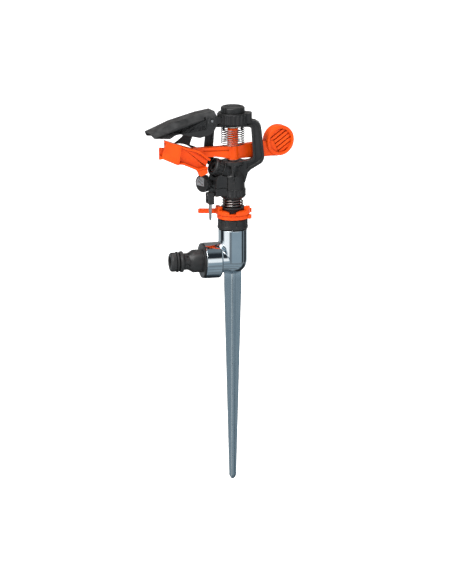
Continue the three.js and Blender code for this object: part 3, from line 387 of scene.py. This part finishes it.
finishes = {
    "cast_zinc": metal("satinChrome", chrome),
    "steel": metal("drawnSteel", drawnWire),
    "black_plastic": plastic("charcoalPlastic", charcoal),
    "orange_plastic": plastic("orangePlastic", signalOrange),
    "grey_plastic": plastic("panelPlastic", panelGrey),
    "pale_plastic": plastic("bearingPlastic", bearingWhite),
    "rubber": plastic("sealRubber", sealRubber),
}
springSteel = metal("springSteel", darkWire)

print("moulded parts")
edgeRadius = {
    "cast_zinc": 0.5 * mm,
    "black_plastic": 0.3 * mm,
    "orange_plastic": 0.35 * mm,
    "grey_plastic": 0.12 * mm,
    "pale_plastic": 0.2 * mm,
    "steel": 0.12 * mm,
    "rubber": 0.15 * mm,
}
finerEdges = {
    # pieces with finer edges than their finish has
    "nozzle_cap": 0.2 * mm,
    "top_cap": 0.25 * mm,
    "range_dial": 0.15 * mm,
    "striker_wire": 0.15 * mm,
}
softening = {
    "merge": 0.008 * mm,  # corners closer than this become one
    "flatWithin": 1.2,  # degrees between faces that count as one plane
    "roundFrom": 34,  # degrees at an edge that gets rounded
    "steps": 2,
}


def soften(name, v):
    piece = cadNodes[name]
    slot = slotOf[name]
    piece.data.materials.clear()
    piece.data.materials.append(finishes[slot])
    piece.data.polygons.foreach_set("use_smooth", [True] * len(piece.data.polygons))
    weld = piece.modifiers.new("weld", "WELD")
    weld.merge_threshold = v["merge"]
    flat = piece.modifiers.new("flat", "DECIMATE")
    flat.decimate_type = "DISSOLVE"
    flat.angle_limit = math.radians(v["flatWithin"])
    bevel = piece.modifiers.new("edges", "BEVEL")
    bevel.limit_method = "ANGLE"
    bevel.angle_limit = math.radians(v["roundFrom"])
    bevel.width = finerEdges.get(name, edgeRadius[slot])
    bevel.segments = v["steps"]
    bevel.use_clamp_overlap = False
    bevel.miter_outer = "MITER_ARC"
    even = piece.modifiers.new("even", "WEIGHTED_NORMAL")
    even.mode = "FACE_AREA"


for name in cadNodes:
    soften(name, softening)


def lathe(bm, profile, frameOf, segments=160):
    # a closed solid from (radius, height) pairs that start and end on the axis
    rings = []
    for radius, height in profile:
        if radius == 0:
            rings.append([bm.verts.new(frameOf @ Vector((0, 0, height)))])
            continue
        turns = [2 * math.pi * i / segments for i in range(segments)]
        rings.append([
            bm.verts.new(frameOf @ Vector((radius * math.cos(a), radius * math.sin(a), height)))
            for a in turns
        ])
    for low, high in zip(rings, rings[1:]):
        for i in range(segments):
            j = (i + 1) % segments
            corners = [low[i % len(low)], low[j % len(low)], high[j % len(high)], high[i % len(high)]]
            bm.faces.new(list(dict.fromkeys(corners)))  # a ring of one point gives triangles


def prism(bm, outline, half, turn=0.0):
    # an outline in x and z, thick in y, turned about the upright axis
    spin = Matrix.Rotation(turn, 4, "Z")
    near = [bm.verts.new(spin @ Vector((x, -half, z))) for x, z in outline]
    far = [bm.verts.new(spin @ Vector((x, half, z))) for x, z in outline]
    bm.faces.new(near)
    bm.faces.new(far[::-1])
    for i in range(len(outline)):
        j = (i + 1) % len(outline)
        bm.faces.new([near[i], far[i], far[j], near[j]])


def meshFrom(name, build):
    bm = bmesh.new()
    build(bm)
    bmesh.ops.recalc_face_normals(bm, faces=bm.faces)
    mesh = bpy.data.meshes.new(name)
    bm.to_mesh(mesh)
    bm.free()
    piece = bpy.data.objects.new(name, mesh)
    scene.collection.objects.link(piece)
    return piece


def settle(piece, sharpFrom=50):
    # the modifiers' result becomes the mesh itself
    bpy.context.view_layer.update()
    shown = piece.evaluated_get(bpy.context.evaluated_depsgraph_get())
    made = bpy.data.meshes.new_from_object(shown)
    piece.modifiers.clear()
    piece.data = made
    made.polygons.foreach_set("use_smooth", [True] * len(made.polygons))
    made.set_sharp_from_angle(angle=math.radians(sharpFrom))


def stand(piece, node, body, slot, material=None):
    piece.data.materials.clear()
    piece.data.materials.append(material or finishes[slot])
    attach(piece, body)
    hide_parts(node)


def bodyOf(node):
    bodies = frame["record"]["behaviour"]["bodies"]
    return next(body for body, nodes in bodies.items() if node in nodes)


print("elbow")
casting = {
    "wall": 2.95 * mm,  # of the riser
    "throatRadius": 8 * mm,
    "neckRadius": 10.8 * mm,
    "cupLength": 13.9 * mm,
    "cupWall": 4.4 * mm,
    "cupDepth": 13 * mm,
    "rib": 2.4 * mm,
    "ribTop": (14.6 * mm, 9.2 * mm),  # across and along the line of sight
    "ribTip": (5.8 * mm, 5 * mm),
    "point": 3 * mm,
    "sunk": 2 * mm,  # how far a rib runs into the elbow
    "cupEdge": 1.2 * mm,
    "grain": 0.34 * mm,  # size of the mesh's cells
    "rounds": 7,  # of smoothing
}


def buildElbow(v):
    low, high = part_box("spike_elbow")
    nippleLow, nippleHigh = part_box("hose_nipple")
    axis = (nippleLow.z + nippleHigh.z) / 2
    tube, mouth, cup = high.x, -low.x, high.y
    over = 1 * mm  # how far pieces that join or cut reach past each other
    sideways = Matrix.Translation((0, 0, axis)) @ Matrix.Rotation(-math.pi / 2, 4, "Y")

    def rod(radius, start, end):
        return [(0, start), (radius, start), (radius, end), (0, end)]

    def rib(top, tip):
        foot = low.z + v["point"]
        root = axis - tube + v["sunk"]
        right = [(top / 2, root), (top / 2, -v["sunk"]), (tip / 2, foot), (tip / 4, low.z + v["point"] / 4)]
        return [(-x, z) for x, z in right] + [(0, low.z)] + right[::-1]

    def outside(bm):
        quarter = [math.pi / 2 * i / 40 for i in range(41)]
        dome = [(tube * math.sin(a), axis - tube * math.cos(a)) for a in quarter]
        lathe(bm, [*dome, (tube, high.z), (0, high.z)], Matrix.Identity(4))
        back = mouth - v["cupLength"]
        edge = v["cupEdge"]
        lathe(bm, rod(v["neckRadius"], 0, back + over), sideways)
        lathe(bm, [(0, back), (cup - edge, back), (cup, back + edge), (cup, mouth), (0, mouth)], sideways)
        prism(bm, rib(v["ribTop"][0], v["ribTip"][0]), v["rib"] / 2)
        prism(bm, rib(v["ribTop"][1], v["ribTip"][1]), v["rib"] / 2, math.pi / 2)

    piece = meshFrom("castElbow", outside)
    cells = piece.modifiers.new("cells", "REMESH")
    cells.mode = "VOXEL"
    cells.voxel_size = v["grain"]
    smooth = piece.modifiers.new("smooth", "SMOOTH")
    smooth.factor = 0.5
    smooth.iterations = v["rounds"]
    bores = [
        (rod(tube - v["wall"], axis, high.z + over), Matrix.Identity(4)),
        (rod(v["throatRadius"], 0, mouth - over), sideways),
        (rod(cup - v["cupWall"], mouth - v["cupDepth"], mouth + over), sideways),
    ]
    cutters = [meshFrom("bore", lambda bm: lathe(bm, shape, way, 72)) for shape, way in bores]
    for cutter in cutters:
        hollow = piece.modifiers.new("hollow", "BOOLEAN")
        hollow.operation = "DIFFERENCE"
        hollow.solver = "MANIFOLD"
        hollow.object = cutter
    settle(piece)
    for cutter in cutters:
        bpy.data.objects.remove(cutter)
    stand(piece, "spike_elbow", bodyOf("spike_elbow"), "cast_zinc")


buildElbow(casting)

print("springs")
springs = {
    "arm_spring": {"wire": 0.36 * mm, "turns": 8, "closed": 0.1},
    "bearing_spring": {"wire": 0.75 * mm, "turns": 2.75, "closed": 0.0},
}


def buildSpring(node, v, sides=14, steps=56):
    low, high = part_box(node)
    corners = cadNodes[node].data.vertices
    wire = v["wire"]
    coilRadius = sorted(math.hypot(c.co.x, c.co.y) for c in corners)[int(len(corners) * 0.9)] - wire
    start = math.atan2(corners[0].co.y, corners[0].co.x)
    count = round(v["turns"] * steps)
    path = []
    for i in range(count + 1):
        t = i / count
        angle = start + t * v["turns"] * 2 * math.pi
        rise = t - v["closed"] * math.sin(2 * math.pi * t) / (2 * math.pi)
        height = low.z + wire + rise * (high.z - low.z - 2 * wire)
        path.append(Vector((coilRadius * math.cos(angle), coilRadius * math.sin(angle), height)))

    def tube(bm):
        rings = []
        for i, point in enumerate(path):
            ahead = path[min(i + 1, count)] - path[max(i - 1, 0)]
            out = Vector((point.x, point.y, 0)).normalized()
            side = ahead.normalized().cross(out)
            turns = [2 * math.pi * k / sides for k in range(sides)]
            rings.append([
                bm.verts.new(point + (out * math.cos(a) + side * math.sin(a)) * wire)
                for a in turns
            ])
        for first, second in zip(rings, rings[1:]):
            for k in range(sides):
                j = (k + 1) % sides
                bm.faces.new([first[k], first[j], second[j], second[k]])
        bm.faces.new(rings[0][::-1])
        bm.faces.new(rings[-1])

    piece = meshFrom(node + "Coil", tube)
    settle(piece)
    stand(piece, node, bodyOf(node), "steel", springSteel)


for node, values in springs.items():
    buildSpring(node, values)


print("light")
# what the gloss reflects, as colours of card
cards = {
    "white": (1, 1, 1),
    "pale": (0.62, 0.66, 0.68),
    "dim": (0.36, 0.40, 0.42),
    "blue": (0.27, 0.34, 0.39),
    "grey": (0.16, 0.19, 0.21),
    "dark": (0.02, 0.025, 0.03),
}
glow = {"gloss": 1.15, "matt": 0.53, "seen": 1.0}  # the world's strength for each kind of ray


def buildWorld(v):
    # white to the eye and even for matt surfaces; only the gloss sees a studio's cards and flags
    world = bpy.data.worlds.new("studio")
    scene.world = world
    world.use_nodes = True
    tree = world.node_tree
    tree.nodes.clear()
    way = addNode(tree, "ShaderNodeTexCoord").outputs["Generated"]
    turned = addNode(tree, "ShaderNodeMapping", {"Vector": way}, vector_type="TEXTURE")
    toCamera = polar(viewFrom["azimuth"], 0)
    turned.inputs["Rotation"].default_value = (0, 0, math.atan2(toCamera.y, toCamera.x))
    x, y, z = addNode(tree, "ShaderNodeSeparateXYZ", {0: turned.outputs[0]}).outputs
    around = maths(tree, "MULTIPLY_ADD", maths(tree, "ARCTAN2", y, x), 0.5 / math.pi, 0.5)
    bands = addNode(tree, "ShaderNodeValToRGB", {0: around})
    white, pale, dim, blue, grey, dark = cards.values()
    # degrees round from the camera, towards its right
    stops = [
        (-180, pale), (-150, dim), (-116, dim), (-106, dark), (-80, dark), (-72, pale), (-68, white),
        (-30, white), (-22, grey), (-12, grey), (-4, blue), (40, blue), (74, blue), (80, dark), (88, dark),
        (94, grey), (102, grey), (106, dark), (132, dark), (142, pale), (180, white),
    ]
    bandStops(bands.color_ramp, [((angle + 180) / 360, color) for angle, color in stops])
    height = maths(tree, "MULTIPLY_ADD", maths(tree, "ARCSINE", z), 1 / math.pi, 0.5)
    levels = addNode(tree, "ShaderNodeValToRGB", {0: height})
    tiers = [
        (-90, blue), (-70, grey), (-58, blue), (-50, grey), (-44, blue), (-24, grey), (-8, white),
        (14, white), (24, dark), (48, dark), (62, grey), (80, grey), (90, blue),
    ]
    bandStops(levels.color_ramp, [((angle + 90) / 180, color) for angle, color in tiers])
    steep = ramp(tree, maths(tree, "ABSOLUTE", z), 0.30, 0.48)
    rightFront = maths(tree, "MULTIPLY", ramp(tree, around, 0.5, 0.55), ramp(tree, around, 0.68, 0.62))
    strip = maths(tree, "MULTIPLY", rightFront, ramp(tree, z, -0.16, -0.02))
    share = maths(tree, "MAXIMUM", steep, strip)
    wholeRound = tint(tree, share, bands.outputs[0], levels.outputs[0])
    # behind the object a dark card lies low and a grey one stands above the horizon
    lowBehind = maths(tree, "MULTIPLY", ramp(tree, x, 0.05, -0.25), ramp(tree, z, -0.34, -0.5))
    highBehind = maths(tree, "MULTIPLY", ramp(tree, x, -0.2, -0.5), ramp(tree, z, 0.02, 0.14))
    underlit = tint(tree, lowBehind, wholeRound, (*dark, 1))
    gloss = tint(tree, highBehind, underlit, (0.20, 0.19, 0.185, 1))
    ray = addNode(tree, "ShaderNodeLightPath").outputs
    glossy = addNode(tree, "ShaderNodeBackground", {"Color": gloss, "Strength": v["gloss"]}).outputs[0]
    matt = addNode(tree, "ShaderNodeBackground", {"Color": (*white, 1), "Strength": v["matt"]}).outputs[0]
    seen = addNode(tree, "ShaderNodeBackground", {"Color": (*white, 1), "Strength": v["seen"]}).outputs[0]
    inner = addNode(tree, "ShaderNodeMixShader", {0: ray["Is Glossy Ray"], 1: matt, 2: glossy}).outputs[0]
    outer = addNode(tree, "ShaderNodeMixShader", {0: ray["Is Camera Ray"], 1: inner, 2: seen}).outputs[0]
    addNode(tree, "ShaderNodeOutputWorld", {0: outer})


def bandStops(colors, stops):
    while len(colors.elements) > 1:
        colors.elements.remove(colors.elements[-1])
    for position, color in stops:
        element = colors.elements[0] if position == stops[0][0] else colors.elements.new(position)
        element.position = position
        element.color = (*color, 1)


lamps = {
    # azimuth and elevation in degrees, distance and size in metres, watts
    "key": {"azimuth": -52, "elevation": 48, "distance": 1.5, "size": 1.1, "power": 26, "gloss": True},
    "fill": {"azimuth": 34, "elevation": 22, "distance": 1.7, "size": 1.3, "power": 7, "gloss": False},
    "rim": {"azimuth": 150, "elevation": 55, "distance": 1.6, "size": 0.9, "power": 17, "gloss": False},
}


def buildLamps(lamps):
    for name, lamp in lamps.items():
        data = bpy.data.lights.new(name, "AREA")
        data.energy = lamp["power"]
        data.size = lamp["size"]
        light = bpy.data.objects.new(name, data)
        scene.collection.objects.link(light)
        way = polar(lamp["azimuth"], lamp["elevation"])
        light.location = way * lamp["distance"]
        light.rotation_euler = (-way).to_track_quat("-Z", "Y").to_euler()
        light.visible_glossy = lamp["gloss"]
        light.visible_camera = False


ground = {
    "below": 12 * mm,  # the spike's tip
    "half": 12,  # its half width in metres
    "glow": 0.55,
}


def buildFloor(v):
    low = cadBounds[0].z - v["below"]
    mesh = bpy.data.meshes.new("floor")
    half = v["half"]
    corners = [(-half, -half, low), (half, -half, low), (half, half, low), (-half, half, low)]
    mesh.from_pydata(corners, [], [(0, 1, 2, 3)])
    floor = bpy.data.objects.new("floor", mesh)
    scene.collection.objects.link(floor)
    floor.visible_glossy = False
    material, tree, bsdf = shader("paleFloor")
    where = addNode(tree, "ShaderNodeTexCoord").outputs["Object"]
    cloud = addNode(tree, "ShaderNodeTexNoise", {"Vector": where, "Scale": 3.0, "Detail": 3.0})
    tone = tint(tree, cloud.outputs["Fac"], (0.9, 0.9, 0.9, 1), (0.94, 0.94, 0.94, 1))
    tree.links.new(tone, bsdf.inputs["Base Color"])
    bsdf.inputs["Roughness"].default_value = 0.9
    bsdf.inputs["Emission Color"].default_value = (1, 1, 1, 1)
    bsdf.inputs["Emission Strength"].default_value = v["glow"]
    mesh.materials.append(material)


buildWorld(glow)
buildLamps(lamps)
buildFloor(ground)
